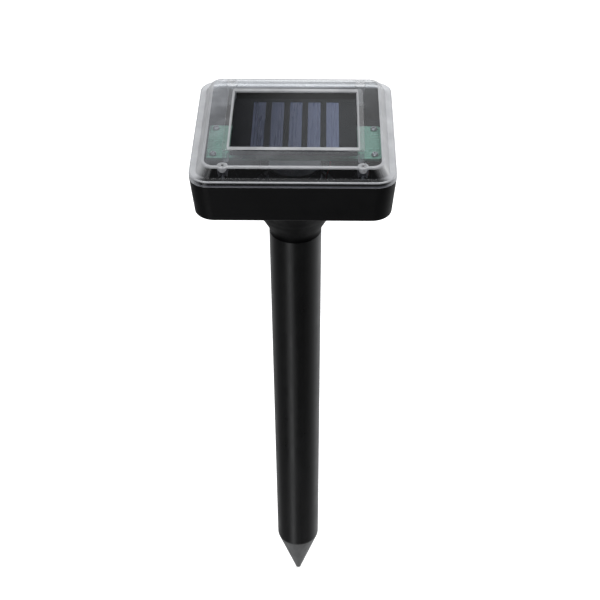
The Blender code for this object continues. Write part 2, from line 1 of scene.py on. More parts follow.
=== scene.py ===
"""Looks for a solar garden stake that repels burrowing pests.

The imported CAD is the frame. The clear cover, the black tub, the stake, the button and the cells are
drawn again here with finer edges, and every other piece keeps its CAD shape under a procedural
material. Lengths named s are millimetres above the split between the cover and the tub.
"""

import math

import bmesh
import bpy
from mathutils import Matrix, Vector

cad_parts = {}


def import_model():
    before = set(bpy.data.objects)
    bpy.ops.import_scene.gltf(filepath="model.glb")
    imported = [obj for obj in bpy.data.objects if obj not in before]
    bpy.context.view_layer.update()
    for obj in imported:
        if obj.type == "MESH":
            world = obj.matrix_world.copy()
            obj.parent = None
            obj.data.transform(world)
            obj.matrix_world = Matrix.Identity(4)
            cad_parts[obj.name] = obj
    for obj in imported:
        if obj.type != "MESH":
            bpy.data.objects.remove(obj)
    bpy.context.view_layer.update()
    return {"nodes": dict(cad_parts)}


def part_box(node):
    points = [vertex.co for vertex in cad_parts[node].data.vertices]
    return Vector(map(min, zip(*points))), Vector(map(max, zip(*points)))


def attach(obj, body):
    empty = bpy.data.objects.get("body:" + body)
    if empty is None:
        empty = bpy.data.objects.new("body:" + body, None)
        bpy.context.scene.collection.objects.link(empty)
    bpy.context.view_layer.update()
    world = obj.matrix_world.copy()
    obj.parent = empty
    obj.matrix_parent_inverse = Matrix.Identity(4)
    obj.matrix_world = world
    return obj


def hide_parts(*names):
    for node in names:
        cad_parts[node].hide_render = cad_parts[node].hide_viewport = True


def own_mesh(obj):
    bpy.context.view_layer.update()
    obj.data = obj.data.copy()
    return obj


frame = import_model()
nodes = frame["nodes"]

MM = 0.001
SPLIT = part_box("base_shell")[1].z - 0.0008
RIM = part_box("stake")[1].z * 1000
BUTTON = (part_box("power_button")[0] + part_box("power_button")[1]) / 2 * 1000
GAP = 0.3

scene = bpy.context.scene
scratch = bpy.data.collections.new("scratch")


# ---------------------------------------------------------------- node materials


class Graph:
    """A material's nodes, with short calls for the few patterns used below."""

    def __init__(self, name):
        self.mat = bpy.data.materials.new(name)
        self.mat.use_nodes = True
        self.nt = self.mat.node_tree
        self.nt.nodes.clear()
        self.out = self.add("ShaderNodeOutputMaterial")
        self.where = self.add("ShaderNodeTexCoord").outputs["Object"]

    def add(self, kind, **props):
        n = self.nt.nodes.new(kind)
        for k, v in props.items():
            setattr(n, k, v)
        return n

    def put(self, socket, value):
        if isinstance(value, bpy.types.NodeSocket):
            self.nt.links.new(value, socket)
        else:
            socket.default_value = value

    def math(self, op, a, b=0.0, clamp=False):
        n = self.add("ShaderNodeMath", operation=op, use_clamp=clamp)
        self.put(n.inputs[0], a)
        self.put(n.inputs[1], b)
        return n.outputs[0]

    def axes(self):
        n = self.add("ShaderNodeSeparateXYZ")
        self.put(n.inputs[0], self.where)
        return n.outputs

    def scaled(self, vec):
        n = self.add("ShaderNodeMapping")
        self.put(n.inputs["Vector"], self.where)
        n.inputs["Scale"].default_value = vec
        return n.outputs[0]

    def noise(self, scale, detail=3.0, rough=0.55, vector=None):
        n = self.add("ShaderNodeTexNoise")
        self.put(n.inputs["Vector"], vector if vector is not None else self.where)
        n.inputs["Scale"].default_value = scale
        n.inputs["Detail"].default_value = detail
        n.inputs["Roughness"].default_value = rough
        return n.outputs[0]

    def ramp(self, value, stops, interpolation="LINEAR"):
        n = self.add("ShaderNodeValToRGB")
        n.color_ramp.interpolation = interpolation
        while len(n.color_ramp.elements) < len(stops):
            n.color_ramp.elements.new(0.5)
        for e, (pos, c) in zip(n.color_ramp.elements, stops):
            e.position = pos
            e.color = (*c, 1.0) if hasattr(c, "__len__") else (c, c, c, 1.0)
        self.put(n.inputs[0], value)
        return n.outputs[0]

    def span(self, value, a, b, lo, hi, smooth=False):
        n = self.add("ShaderNodeMapRange")
        n.interpolation_type = "SMOOTHSTEP" if smooth else "LINEAR"
        for i, v in enumerate((value, a, b, lo, hi)):
            self.put(n.inputs[i], v)
        return n.outputs[0]

    def mix(self, fac, a, b, blend="MIX"):
        n = self.add("ShaderNodeMix", data_type="RGBA", blend_type=blend)
        for socket, v in ((n.inputs[0], fac), (n.inputs[6], a), (n.inputs[7], b)):
            self.put(socket, (*v, 1.0) if isinstance(v, tuple) else v)
        return n.outputs[2]

    def bump(self, height, strength, distance, normal=None):
        n = self.add("ShaderNodeBump")
        n.inputs["Strength"].default_value = strength
        n.inputs["Distance"].default_value = distance
        self.put(n.inputs["Height"], height)
        if normal is not None:
            self.put(n.inputs["Normal"], normal)
        return n.outputs[0]

    def principled(self, **sockets):
        n = self.add("ShaderNodeBsdfPrincipled")
        for k, v in sockets.items():
            self.put(n.inputs[k.replace("_", " ")], (*v, 1.0) if isinstance(v, tuple) and len(v) == 3 else v)
        return n.outputs[0]

    def finish(self, shader):
        self.nt.links.new(shader, self.out.inputs["Surface"])
        return self.mat


def moulded(name, dark, light, rough, spec, grain=900.0, depth=0.00006, strength=0.25, draw=None, metallic=0.0):
    """Moulded plastic or cast material: slow mottling of tone, finer change of gloss, and a fine grain."""
    g = Graph(name)
    tone = g.noise(38.0, 4.0, vector=g.scaled(draw) if draw else None)
    colour = g.ramp(tone, [(0.36, dark), (0.64, light)])
    gloss = g.span(g.noise(160.0, 3.0), 0.3, 0.7, *rough)
    normal = g.bump(g.noise(grain, 2.0), strength, depth)
    return g.finish(
        g.principled(
            Base_Color=colour, Roughness=gloss, Specular_IOR_Level=spec, Normal=normal, Metallic=metallic
        )
    )


# The tub: black, fine spark-eroded texture, and soft horizontal shading from the moulding. Below the tub's floor, on
# the hub, colour and reflection are darkened: painted shade under the head.
def tub_material():
    g = Graph("tub_black")
    x, y, z = g.axes()
    cloud = g.noise(26.0, 4.0)
    colour = g.ramp(cloud, [(0.35, (0.0014, 0.0014, 0.0016)), (0.65, (0.0026, 0.0026, 0.0029))])
    band = g.noise(9.0, 2.0, vector=g.scaled((1.0, 1.0, 34.0)))
    gloss = g.math("ADD", g.span(band, 0.3, 0.7, -0.05, 0.05), g.span(g.noise(210.0), 0.3, 0.7, 0.40, 0.50))
    normal = g.bump(g.noise(1700.0, 2.0), 0.22, 0.00005)
    normal = g.bump(g.noise(60.0, 1.0), 0.05, 0.0006, normal)
    # painted shade: 1 above the tub's floor, falling to 0 on the hub, where colour and reflection darken as if shaded
    # by the head
    painted_shade_fade = g.span(z, SPLIT - 0.030, SPLIT - 0.0235, 0.0, 1.0, True)
    colour = g.mix(painted_shade_fade, (0.0008, 0.0008, 0.0009), colour)
    return g.finish(
        g.principled(
            Base_Color=colour, Roughness=gloss, Specular_IOR_Level=g.span(painted_shade_fade, 0.0, 1.0, 0.03, 0.10), Normal=normal
        )
    )


def stake_material():
    g = Graph("stake_black")
    colour = g.ramp(
        g.noise(30.0, 4.0, vector=g.scaled((1.0, 1.0, 0.12))),
        [(0.34, (0.0026, 0.0026, 0.0028)), (0.68, (0.0048, 0.0048, 0.0052))],
    )
    streak = g.noise(420.0, 2.0, vector=g.scaled((1.0, 1.0, 0.02)))
    gloss = g.math("ADD", g.span(streak, 0.3, 0.7, -0.04, 0.05), g.span(g.noise(90.0), 0.3, 0.7, 0.30, 0.38))
    normal = g.bump(streak, 0.10, 0.00005)
    normal = g.bump(g.noise(1500.0, 2.0), 0.12, 0.00004, normal)
    return g.finish(
        g.principled(Base_Color=colour, Roughness=gloss, Specular_IOR_Level=0.36, Normal=normal)
    )


def clear(name, haze, tone, rough=(0.05, 0.12), mottled=0.25, haze_rough=0.6, front=None, back=1.0, lean=None, deep=None, sides=None, polish=1.0):
    """Clear moulded plastic: mostly see-through, a milky share named haze, and a polished gloss over it.

    The milky share falls to `front` on the side of the head that faces -Y, where the wall shows the dark inside, and
    there the see-through part is darkened too: painted shade.
    It is scaled by `back` on the far side, `lean` scales it from left to right, `deep` from front to back, and `sides`
    on the window's side bands: painted light and shade, lighter or darker by side."""
    g = Graph(name)
    cloud = g.noise(70.0, 4.0)
    share = g.span(cloud, 0.3, 0.7, haze * (1 - mottled), min(1.0, haze * (1 + mottled)))
    x, y, z = g.axes()
    # painted light and shade: the milky share is scaled from left to right, from front to back and on the side bands
    for axis, scale in ((x, lean), (y, deep)):
        if scale is not None:
            share = g.math("MULTIPLY", share, g.span(axis, -0.05, 0.05, *scale), True)
    if sides is not None:
        share = g.math("MULTIPLY", share, g.span(g.math("ABSOLUTE", x), 0.0380, 0.0392, 1.0, sides, True))
    front_shade_mask = None
    # painted shade: on the -Y side the milky share falls, and the far side is scaled by back
    if front is not None:
        far = g.math("SUBTRACT", y, g.math("ABSOLUTE", x))
        share = g.math("MULTIPLY", share, g.span(far, -0.006, 0.008, 1.0, back, True))
        lead = g.math("SUBTRACT", g.math("MULTIPLY", y, -1.0), g.math("ABSOLUTE", x))
        front_shade_mask = g.span(lead, -0.004, 0.008, 0.0, 1.0, True)
        share = g.math("MULTIPLY", share, g.span(front_shade_mask, 0.0, 1.0, 1.0, front / haze))
    normal = g.bump(g.noise(240.0, 2.0), 0.06, 0.0002)
    milk = g.principled(
        Base_Color=g.ramp(cloud, [(0.3, tuple(c * 0.93 for c in tone)), (0.7, tone)]),
        Roughness=haze_rough,
        Specular_IOR_Level=0.2,
    )
    through = g.add("ShaderNodeBsdfTransparent")
    through.inputs[0].default_value = (0.965, 0.975, 0.985, 1.0)
    # painted shade: the see-through part darkens on the -Y side
    if front_shade_mask is not None:
        g.put(through.inputs[0], g.mix(front_shade_mask, (0.965, 0.975, 0.985), (0.42, 0.42, 0.45)))
    body = g.add("ShaderNodeMixShader")
    g.put(body.inputs[0], share)
    g.put(body.inputs[1], through.outputs[0])
    g.put(body.inputs[2], milk)
    gloss = g.add("ShaderNodeBsdfGlossy")
    g.put(gloss.inputs["Roughness"], g.span(g.noise(130.0), 0.3, 0.7, *rough))
    g.put(gloss.inputs["Normal"], normal)
    fresnel = g.add("ShaderNodeFresnel")
    fresnel.inputs["IOR"].default_value = 1.49
    facing = g.math("SUBTRACT", 1.0, g.add("ShaderNodeNewGeometry").outputs["Backfacing"])
    out = g.add("ShaderNodeMixShader")
    g.put(out.inputs[0], g.math("MULTIPLY", g.math("MULTIPLY", fresnel.outputs[0], facing), polish))
    g.put(out.inputs[1], body.outputs[0])
    g.put(out.inputs[2], gloss.outputs[0])
    return g.finish(out.outputs[0])


TUB = tub_material()
STAKE = stake_material()
# painted light and shade: lean, deep, front, back and sides below make parts of the cover lighter or darker by side
CLEAR_TOP = clear("clear_platform", 0.13, (0.62, 0.64, 0.68), lean=(2.3, 0.35), deep=(0.42, 1.1), polish=0.75)
CLEAR_PANE = clear("clear_window", 0.001, (0.80, 0.82, 0.86), mottled=0.6, polish=0.62)
CLEAR_WALL = clear("clear_wall", 0.07, (0.80, 0.82, 0.86))
# The ledge, side, edge and shoulder bands are partly the plastic's haze and partly painted light: their milky grey
# stands in for the white surroundings seen through the plastic and for bright lines along its moulded edges.
CLEAR_LEDGE = clear("clear_ledge", 0.80, (0.44, 0.445, 0.46), mottled=0.08, front=0.05, back=0.6, polish=0.3)
CLEAR_SIDE = clear("clear_side", 0.60, (0.42, 0.425, 0.44), mottled=0.15, front=0.03, back=0.8)
CLEAR_EDGE = clear("clear_edge", 0.80, (0.37, 0.375, 0.39), mottled=0.08)
CLEAR_IN = clear("clear_inside", 0.006, (0.80, 0.82, 0.86))
CLEAR_SHOULDER = clear("clear_shoulder", 0.80, (0.41, 0.415, 0.425), mottled=0.08, front=0.012, back=0.6)
CLEAR_FRAME = clear("clear_frame", 0.62, (0.50, 0.505, 0.52), mottled=0.2, sides=0.35)
CLEAR_BOSS = clear("clear_boss", 0.55, (0.44, 0.445, 0.46), mottled=0.3)
CLEAR_SLOTS = [
    CLEAR_TOP, CLEAR_PANE, CLEAR_WALL, CLEAR_LEDGE, CLEAR_SIDE, CLEAR_EDGE, CLEAR_IN, CLEAR_SHOULDER, CLEAR_FRAME,
    CLEAR_BOSS,
]
TOP, PANE, WALL, LEDGE, SIDE, EDGE, IN, SHOULDER, FRAME, BOSS = range(10)


# ---------------------------------------------------------------- drawing


def place(name, bm, mats, at=(0.0, 0.0, 0.0), tool=False, sharp=32, recalc=True):
    """Places a bmesh drawn in millimetres about `at`, with heights from the split, and shades it by angle."""
    bm.transform(Matrix.Translation(Vector(at)))
    bm.transform(Matrix.Scale(MM, 4))
    bm.transform(Matrix.Translation((0.0, 0.0, SPLIT)))
    if recalc:
        bmesh.ops.recalc_face_normals(bm, faces=bm.faces)
    mesh = bpy.data.meshes.new(name)
    bm.to_mesh(mesh)
    bm.free()
    for m in mats:
        mesh.materials.append(m)
    mesh.shade_smooth()
    mesh.set_sharp_from_angle(angle=math.radians(sharp))
    obj = bpy.data.objects.new(name, mesh)
    (scratch if tool else scene.collection).objects.link(obj)
    return obj


def loop(bm, w, d, r, s, cy=0.0, seg=10):
    """A rounded rectangle's points at height s, the same number for every rectangle."""
    out = []
    for k, (sx, sy) in enumerate(((1, 1), (-1, 1), (-1, -1), (1, -1))):
        cx, cyy = sx * (w / 2 - r), sy * (d / 2 - r) + cy
        for i in range(seg + 1):
            a = math.pi / 2 * (k + i / seg)
            out.append(bm.verts.new((cx + r * math.cos(a), cyy + r * math.sin(a), s)))
    return out


def skin(bm, a, b, slot):
    n = len(a)
    for i in range(n):
        j = (i + 1) % n
        f = bm.faces.new((a[i], a[j], b[j], b[i]))
        f.material_index = slot


def lofted(rows, seg=10, slot_cap=(0, 0)):
    """A closed solid skinned over rounded rectangles. A row is (w, d, r, s, cy, slot of the band that ends there)."""
    bm = bmesh.new()
    loops = [loop(bm, *row[:5], seg=seg) for row in rows]
    for a, b, row in zip(loops, loops[1:], rows[1:]):
        skin(bm, a, b, row[5])
    first = bm.faces.new(loops[0][::-1])
    last = bm.faces.new(loops[-1])
    first.material_index, last.material_index = slot_cap
    return bm


def arc(c, r, a0, a1, n):
    """(across, up) points of a quarter-like arc, in degrees."""
    return [
        (c[0] + r * math.cos(math.radians(a0 + (a1 - a0) * k / n)), c[1] + r * math.sin(math.radians(a0 + (a1 - a0) * k / n)))
        for k in range(n + 1)
    ]


def turned(profile, steps=72, ring=False):
    """A turned solid from (radius, height) points. Slots follow the points where they have a third number."""
    bm = bmesh.new()
    rings = []
    for p in profile:
        r, z = p[0], p[1]
        if r < 1e-6:
            rings.append([bm.verts.new((0, 0, z))])
        else:
            rings.append(
                [bm.verts.new((r * math.cos(math.tau * i / steps), r * math.sin(math.tau * i / steps), z)) for i in range(steps)]
            )
    pairs = list(zip(rings, rings[1:], profile[1:]))
    if ring:
        pairs.append((rings[-1], rings[0], profile[0]))
    for a, b, p in pairs:
        slot = p[2] if len(p) > 2 else 0
        for i in range(steps):
            j = (i + 1) % steps
            if len(a) == 1:
                f = bm.faces.new((a[0], b[j], b[i]))
            elif len(b) == 1:
                f = bm.faces.new((a[i], a[j], b[0]))
            else:
                f = bm.faces.new((a[i], a[j], b[j], b[i]))
            f.material_index = slot
    return bm


def boolean(target, operation, *operands):
    """Applies exact Booleans at once and drops the operands."""
    for operand in operands:
        mod = target.modifiers.new("cut", "BOOLEAN")
        mod.operation = operation
        mod.object = operand
        mod.solver = "EXACT"
    bpy.context.view_layer.update()
    graph = bpy.context.evaluated_depsgraph_get()
    mesh = bpy.data.meshes.new_from_object(target.evaluated_get(graph))
    target.modifiers.clear()
    target.data = mesh
    for operand in operands:
        bpy.data.objects.remove(operand, do_unlink=True)
    mesh.shade_smooth()
    mesh.set_sharp_from_angle(angle=math.radians(32))
    return target


def weighted(obj):
    m = obj.modifiers.new("normals", "WEIGHTED_NORMAL")
    m.keep_sharp = True
    m.weight = 80
    return obj


def mirrored(x, y):
    return [(sx * x, sy * y) for sx, sy in ((-1, -1), (1, -1), (-1, 1), (1, 1))]


def box_rows(w, d, r, s0, s1, edge=0.0, low_edge=0.0, low=0.0, n=3, cy=0.0, slot=0):
    """Rows of a box with round corners and rims, leaning in by `low` a side at its foot."""
    rows = []

    def row(inset, s):
        k = (s1 - s) / (s1 - s0) * low
        return (w - 2 * (inset + k), d - 2 * (inset + k), max(r - inset * 0.6 - k * 0.3, 0.05), s, cy, slot)

    for a, b in arc((0, 0), low_edge, -90, 0, n) if low_edge else [(0, 0)]:
        rows.append(row(low_edge - a if low_edge else 0.0, s0 + (low_edge + b if low_edge else 0.0)))
    for a, b in arc((0, 0), edge, 0, 90, n) if edge else [(0, 0)]:
        rows.append(row(edge - a if edge else 0.0, s1 - (edge - b if edge else 0.0)))
    return rows


# ---------------------------------------------------------------- clear cover

W = 120.0
PLAT = 104.8
PLAT_H, FL = 9.7, 3.9
FW, FD, WW, WD, CY = 82.6, 73.2, 75.8, 66.4, 1.7
BOSSES = [(sx * 40.2, sy * 50.0 - 1.0) for sx, sy in ((-1, -1), (1, -1), (-1, 1), (1, 1))]

rows = []


def add(half_x, r, s, slot, half_y=None, cy=0.0):
    rows.append((2 * half_x, 2 * (half_x if half_y is None else half_y), r, s, cy, slot))


# Inside, from the middle of the pane out to the skirt's foot
add(WW / 2 - 1.0, 0.5, 7.7, IN, WD / 2 - 1.0, CY)
add(WW / 2, 0.6, 7.7, PANE, WD / 2, CY)
add(WW / 2, 0.6, 3.4, IN, WD / 2, CY)
add(WW / 2 + 0.3, 0.8, 3.2, IN, WD / 2 + 0.3, CY)
add(WW / 2 + 1.5, 1.3, 3.2, IN, WD / 2 + 1.5, CY)
add(WW / 2 + 1.8, 1.4, 3.4, IN, WD / 2 + 1.8, CY)
add(WW / 2 + 1.8, 1.4, 7.7, IN, WD / 2 + 1.8, CY)
add(PLAT / 2 - 2.6, 4.6, 7.7, IN)
for a, b in arc((PLAT / 2 - 2.6, 7.1), 0.6, 90, 0, 3)[1:]:
    add(a, 4.8, b, IN)
add(PLAT / 2 - 2.0, 5.0, 1.8, IN)
add(57.7, 9.8, 1.8, IN)
add(57.9, 9.9, 1.6, IN)
add(57.9, 9.9, 0.15, IN)
# Outside, from the skirt's foot up
add(59.75, 11.8, 0.15, EDGE)
add(60.0, 12.0, 0.3, EDGE)
add(60.0, 12.0, 0.42, EDGE)
add(60.0, 12.0, 3.2, SIDE)
for a, b in arc((59.4, 3.25), 0.6, 0, 90, 5)[1:]:
    add(a, 12.0 - (60.0 - a) * 0.8, b, EDGE)
add(59.1, 11.4, FL, EDGE)
add(56.3, 9.6, FL, LEDGE)
for a, b in arc((56.5, 4.7), 0.8, 270, 217, 4)[1:]:
    add(a, 9.3 + (a - 56.5), b, LEDGE)
add(PLAT / 2 + 0.72, 7.6, 8.7, SHOULDER)
for a, b in arc((PLAT / 2 - 0.42, 8.6), 1.1, 15, 90, 6)[1:]:
    add(a, 7.6 - (PLAT / 2 + 0.7 - a) * 0.7, b, EDGE)
add(PLAT / 2 - 1.3, 6.0, PLAT_H, EDGE)
add(FW / 2 + 0.2, 1.8, PLAT_H, TOP, FD / 2 + 0.2, CY)
add(FW / 2, 1.6, PLAT_H + 0.2, SIDE, FD / 2, CY)
add(FW / 2, 1.6, PLAT_H + 0.42, SIDE, FD / 2, CY)
for a, b in arc((0, 0), 0.28, 0, 90, 3)[1:]:
    add(FW / 2 - 0.28 + a, 1.4, PLAT_H + 0.42 + b, FRAME, FD / 2 - 0.28 + a, CY)
add(FW / 2 - 1.0, 1.2, PLAT_H + 0.7, FRAME, FD / 2 - 1.0, CY)
add(WW / 2 + 0.9, 0.9, PLAT_H + 0.7, FRAME, WD / 2 + 0.9, CY)
for a, b in arc((0, 0), 0.28, 90, 180, 3):
    add(WW / 2 + 0.28 + a, 0.7, PLAT_H + 0.42 + b, EDGE, WD / 2 + 0.28 + a, CY)
add(WW / 2, 0.6, PLAT_H + 0.1, EDGE, WD / 2, CY)
add(WW / 2 - 0.35, 0.5, PLAT_H, EDGE, WD / 2 - 0.35, CY)
add(WW / 2 - 1.2, 0.5, PLAT_H, PANE, WD / 2 - 1.2, CY)
cover = place("clear_cover", lofted(rows, slot_cap=(PANE, PANE)), CLEAR_SLOTS)

bosses = []
for x, y in BOSSES:
    profile = [(0.0, PLAT_H + 0.02, IN), (0.9, PLAT_H + 0.02, IN), (1.2, PLAT_H + 0.1, EDGE)]
    profile += [(2.5, PLAT_H + 0.1, BOSS), (2.7, PLAT_H + 0.1, EDGE)]
    profile += [(a, b, EDGE) for a, b in arc((2.7, PLAT_H - 0.7), 0.8, 90, 0, 4)]
    profile += [(3.45, 7.0, BOSS), (3.1, 4.0, BOSS), (2.6, 1.2, BOSS), (2.6, -6.0, SIDE), (0.0, -6.0, SIDE)]
    bosses.append(place("boss", turned(profile, 40), CLEAR_SLOTS, (x, y, 0), tool=True))
posts = []
for x, y in mirrored(WW / 2 + 1.6, WD / 2 + 1.6):
    profile = [(0.0, 8.2, FRAME), (1.9, 8.2, FRAME), (1.9, 2.0, FRAME), (1.5, 1.6, FRAME), (0.0, 1.6, FRAME)]
    posts.append(place("rib_post", turned(profile, 28), CLEAR_SLOTS, (x, y + CY, 0), tool=True))
boolean(cover, "UNION", *bosses, *posts)
holes = [
    place("boss_hole", turned([(0, 4.9, SIDE), (1.6, 4.0, SIDE), (1.6, -8.0, IN), (0, -8.0, IN)], 28), CLEAR_SLOTS, (x, y, 0), tool=True)
    for x, y in BOSSES
]
boolean(cover, "DIFFERENCE", *holes)
weighted(cover)
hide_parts("top_cover")
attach(cover, "head")

# ---------------------------------------------------------------- black tub with its hub and spigot

DEEP = -24.1  # the tub's floor, outside
SLOPE, FILLET, FOOT, R_TOP = 0.55, 11.0, -68.0, 16.5
turn = math.atan(SLOPE)


def hub_radius(s):
    return R_TOP + FILLET * (1 - math.cos(turn)) + SLOPE * (s - FOOT - FILLET * math.sin(turn))


rows = []
for t in range(0, 91, 15):  # the round lower edge
    inset = 1.3 * (1 - math.sin(math.radians(t)))
    width = 2 * (57.8 - inset)
    rows.append((width, width, 12.0 - 0.6 * inset, DEEP + 1.3 * (1 - math.cos(math.radians(t))), 0.0, 0))
rows += [(119.6, 119.6, 12.0, -0.75, 0.0, 0), (119.75, 119.75, 12.0, -0.35, 0.0, 0), (119.3, 119.3, 11.8, -0.15, 0.0, 0)]
tub = place("tub_shell", lofted(rows, seg=12), [TUB])

fillet = []
for step in range(13):
    a = turn * (1 - step / 12)
    fillet.append((R_TOP + FILLET * (1 - math.cos(a)), FOOT + FILLET * math.sin(a)))
top_fillet = []
for step in range(7):  # the soft inside corner between the floor and the funnel
    t = step / 6
    x0, y0 = hub_radius(DEEP) + 2.9, DEEP + 0.1
    x1, y1 = hub_radius(DEEP) - 0.2, DEEP
    x2, y2 = hub_radius(DEEP - 4.3), DEEP - 4.3
    top_fillet.append(
        ((1 - t) ** 2 * x0 + 2 * t * (1 - t) * x1 + t * t * x2, (1 - t) ** 2 * y0 + 2 * t * (1 - t) * y1 + t * t * y2)
    )
hub = place(
    "hub",
    turned(
        [(0, DEEP + 1.2), (hub_radius(DEEP) + 2.9, DEEP + 0.7)] + top_fillet + fillet
        + [(14.4, FOOT), (14.4, -73.0), (12.85, -73.0), (12.85, -75.0), (14.4, -75.0), (14.4, -88.8), (14.1, -89.6), (13.5, -90.0), (0, -90.0)],
        96,
    ),
    [TUB],
    tool=True,
)
tongue = place("tongue", lofted(box_rows(114.6, 114.6, 9.3, -1.2, 0.8, 0.2, n=2)), [TUB], tool=True)
boolean(tub, "UNION", hub, tongue)
cavity = place("cavity", lofted(box_rows(115.2, 115.2, 9.6, -21.9, -3.5, 0.0, 1.0, 2.0)), [TUB], tool=True)
mouth = place("mouth", lofted(box_rows(110.8, 110.8, 7.4, -6.0, 2.0)), [TUB], tool=True)
hollow = place(
    "hollow",
    turned(
        [(0, -12.0), (37.2, -12.0), (37.2, -22.0), (hub_radius(-41.0) - 2.45, -41.0), (22.5, -41.0), (22.5, -47.0),
         (15.7, -61.0), (12.4, -66.0), (11.0, -68.5), (11.0, -93.0), (0, -93.0)],
        96,
    ),
    [TUB],
    tool=True,
)
boolean(tub, "DIFFERENCE", cavity, mouth, hollow)
columns = [
    place("column", turned([(0, -6.3), (3.9, -6.3), (4.2, -6.6), (4.2, -22.6), (0, -22.6)], 32), [TUB], (x, y, 0), tool=True)
    for x, y in BOSSES
]
columns += [
    place("post", turned([(0, -3.9), (2.6, -3.9), (2.8, -4.1), (3.3, -22.7), (0, -22.7)], 28), [TUB], (x, y - 5.0, 0), tool=True)
    for x, y in mirrored(48.0, 15.0)
]
boolean(tub, "UNION", *columns)
bores = [
    place("bore", turned([(0, -4.0), (1.7, -4.0), (1.7, -20.8), (2.9, -20.8), (2.9, -23.7), (3.2, DEEP), (3.2, -26.0), (0, -26.0)], 32), [TUB], (x, y, 0), tool=True)
    for x, y in BOSSES
]
bores += [
    place("pilot", turned([(0, -2.0), (1.15, -2.0), (1.15, -13.0), (0, -13.0)], 20), [TUB], (x, y - 5.0, 0), tool=True)
    for x, y in mirrored(48.0, 15.0)
]
bores.append(
    place("button_hole", turned([(0, -18.0), (5.0, -18.0), (5.0, -23.7), (5.4, DEEP), (5.4, -28.0), (0, -28.0)], 48), [TUB], (BUTTON.x, BUTTON.y, 0), tool=True)
)
boolean(tub, "DIFFERENCE", *bores)
weighted(tub)
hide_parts("base_shell")
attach(tub, "head")

# ---------------------------------------------------------------- stake

to_s = SPLIT * 1000
cone = math.atan2(14.85, 39.5)
outer = [(0.0, 0.0)]
for step in range(1, 8):
    a = (math.pi / 2 - cone) * step / 7
    outer.append((2.0 * math.sin(a), 2.0 * (1 - math.cos(a))))
for t in (0.25, 0.5, 0.75):
    outer.append((outer[7][0] + (14.5 - outer[7][0]) * t, outer[7][1] + (38.6 - outer[7][1]) * t))
outer += [(14.5, 38.6), (14.68, 39.2), (14.82, 39.8), (14.9, 40.7)]
for t in (0.2, 0.4, 0.6, 0.8):
    outer.append((14.9 + (R_TOP - 14.9) * t, 40.7 + (RIM - 0.4 - 40.7) * t))
outer += [(R_TOP, RIM - 0.4), (R_TOP - 0.1, RIM - 0.12), (R_TOP - 0.35, RIM)]
inner = [(15.15, RIM), (14.85, RIM - 1.0), (13.2, 47.5), (12.1, 45.0), (9.7, 43.0), (0.0, 41.5)]
profile = [(r, z - to_s) for r, z in (outer + inner)]
stake = place("stake_body", turned(profile, 112), [STAKE], sharp=24)
weighted(stake)
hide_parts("stake")
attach(stake, "stake")


# ---------------------------------------------------------------- solar cells


def cell_material():
    g = Graph("cell_silicon")
    x, y, z = g.axes()
    wander = g.noise(35.0, 3.0, vector=g.scaled((1.0, 0.15, 1.0)))
    colour = g.ramp(wander, [(0.3, (0.011, 0.0125, 0.024)), (0.7, (0.018, 0.020, 0.036))])
    fine = g.math("SINE", g.math("MULTIPLY", x, math.tau / 0.0009))
    line = g.span(fine, 0.55, 1.0, 0.0, 0.5, True)
    colour = g.mix(line, colour, (0.048, 0.053, 0.090))
    streak = g.noise(700.0, 2.0, vector=g.scaled((1.0, 0.03, 1.0)))
    colour = g.mix(g.span(streak, 0.35, 0.7, 0.0, 0.40), colour, (0.036, 0.040, 0.068))
    # painted reflection: the cells grow lighter towards +x, standing in for the bright surroundings mirrored on the
    # right
    colour = g.mix(g.span(x, -0.020, 0.030, 0.0, 0.72, True), colour, (0.105, 0.116, 0.175))
    gloss = g.span(streak, 0.3, 0.7, 0.22, 0.36)
    return g.finish(
        g.principled(
            Base_Color=colour, Roughness=gloss, Metallic=0.1, Specular_IOR_Level=0.2, Normal=g.bump(fine, 0.08, 0.00003)
        )
    )


CELL = cell_material()
TINNED = moulded("cell_tinned", (0.22, 0.22, 0.25), (0.34, 0.34, 0.38), (0.3, 0.45), 0.5, 800.0, metallic=0.7)
for i in range(1, 6):
    lo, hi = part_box(f"solar_cell_{i}")
    lo, hi = lo * 1000, hi * 1000
    cx, cy = (lo.x + hi.x) / 2, (lo.y + hi.y) / 2
    w, d = hi.x - lo.x, hi.y - lo.y
    s0, s1 = lo.z - to_s, hi.z - to_s
    strip = place(
        f"cell_strip_{i}", lofted(box_rows(w, d, 0.15, s0, s1, 0.06, n=1), seg=2), [CELL], (cx, cy, 0)
    )
    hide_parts(f"solar_cell_{i}")
    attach(strip, "head")

# ---------------------------------------------------------------- push button

RED_RUBBER = moulded("button_rubber", (0.14, 0.012, 0.012), (0.22, 0.02, 0.018), (0.5, 0.65), 0.3, 1200.0)
cap = [(0, 12.7), (1.3, 12.7), (1.6, 12.4), (1.6, 3.6), (5.8, 3.6), (6.0, 3.4), (6.0, 2.7), (5.8, 2.5), (4.6, 2.5), (4.6, -0.9)]
cap += [(4.5, -1.2), (4.2, -1.42), (3.8, -1.5), (3.2, -1.42), (2.7, -1.36), (2.3, -1.5), (1.2, -1.9), (0, -2.0)]
button = place("button_cap", turned([(r, z + DEEP) for r, z in cap], 56), [RED_RUBBER], (BUTTON.x, BUTTON.y, 0))
weighted(button)
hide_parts("power_button")
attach(button, "button")


# ---------------------------------------------------------------- carried-over CAD nodes


